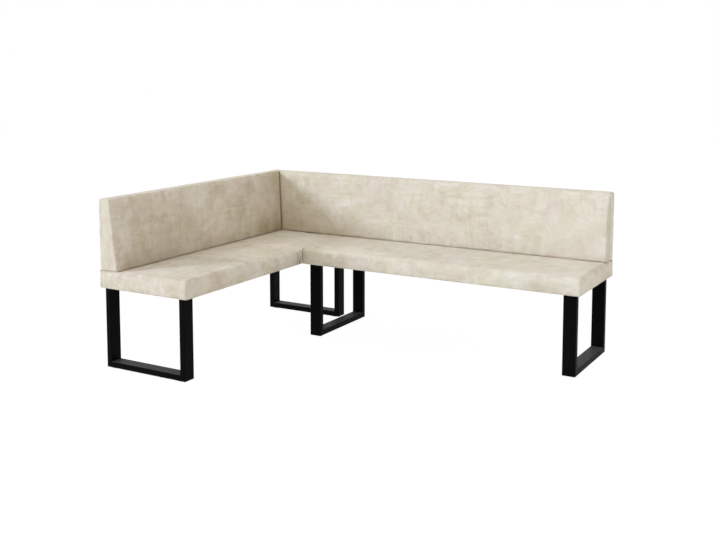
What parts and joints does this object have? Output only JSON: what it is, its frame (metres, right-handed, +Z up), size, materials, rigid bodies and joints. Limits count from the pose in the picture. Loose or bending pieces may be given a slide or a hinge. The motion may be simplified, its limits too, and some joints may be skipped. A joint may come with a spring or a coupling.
{
  "type": "corner bench",
  "caption": "L-shaped upholstered corner bench: two seat boxes and two inclined backs, mitred at the corner, on U-shaped steel runner frames.",
  "frame": {"origin": "on the floor, under the middle of the bench's outline", "axes": "+X along the long arm, away from the corner; +Y towards the wall behind the long arm; +Z up"},
  "size_m": [2.105, 1.525, 0.846],
  "materials": {
    "upholstery": "matte",
    "foam": "matte",
    "lining": "matte",
    "timber": "matte",
    "steel": "satin",
    "zinc": "satin",
    "glide": "matte"
  },
  "bodies": {
    "root": {"joining_plate": "zinc", "joining_screw_1": "zinc", "joining_screw_2": "zinc", "joining_screw_3": "zinc", "joining_screw_4": "zinc", "long_back_bolt_1": "zinc", "long_back_bolt_2": "zinc", "long_back_bolt_3": "zinc", "long_back_cover": "upholstery", "long_back_foam": "foam", "long_back_frame": "timber", "long_back_panel": "timber", "long_inner_foot_bar": "steel", "long_inner_front_bolt": "zinc", "long_inner_front_glide": "glide", "long_inner_front_post": "steel", "long_inner_rear_bolt": "zinc", "long_inner_rear_glide": "glide", "long_inner_rear_post": "steel", "long_inner_top_plate": "steel", "long_outer_foot_bar": "steel", "long_outer_front_bolt": "zinc", "long_outer_front_glide": "glide", "long_outer_front_post": "steel", "long_outer_rear_bolt": "zinc", "long_outer_rear_glide": "glide", "long_outer_rear_post": "steel", "long_outer_top_plate": "steel", "long_seat_board": "timber", "long_seat_cover": "upholstery", "long_seat_dust_cover": "lining", "long_seat_foam": "foam", "long_seat_frame": "timber", "short_back_bolt_1": "zinc", "short_back_bolt_2": "zinc", "short_back_cover": "upholstery", "short_back_foam": "foam", "short_back_frame": "timber", "short_back_panel": "timber", "short_corner_foot_bar": "steel", "short_corner_front_bolt": "zinc", "short_corner_front_glide": "glide", "short_corner_front_post": "steel", "short_corner_rear_bolt": "zinc", "short_corner_rear_glide": "glide", "short_corner_rear_post": "steel", "short_corner_top_plate": "steel", "short_outer_foot_bar": "steel", "short_outer_front_bolt": "zinc", "short_outer_front_glide": "glide", "short_outer_front_post": "steel", "short_outer_rear_bolt": "zinc", "short_outer_rear_glide": "glide", "short_outer_rear_post": "steel", "short_outer_top_plate": "steel", "short_seat_board": "timber", "short_seat_cover": "upholstery", "short_seat_dust_cover": "lining", "short_seat_foam": "foam", "short_seat_frame": "timber"}
  },
  "joints": []
}
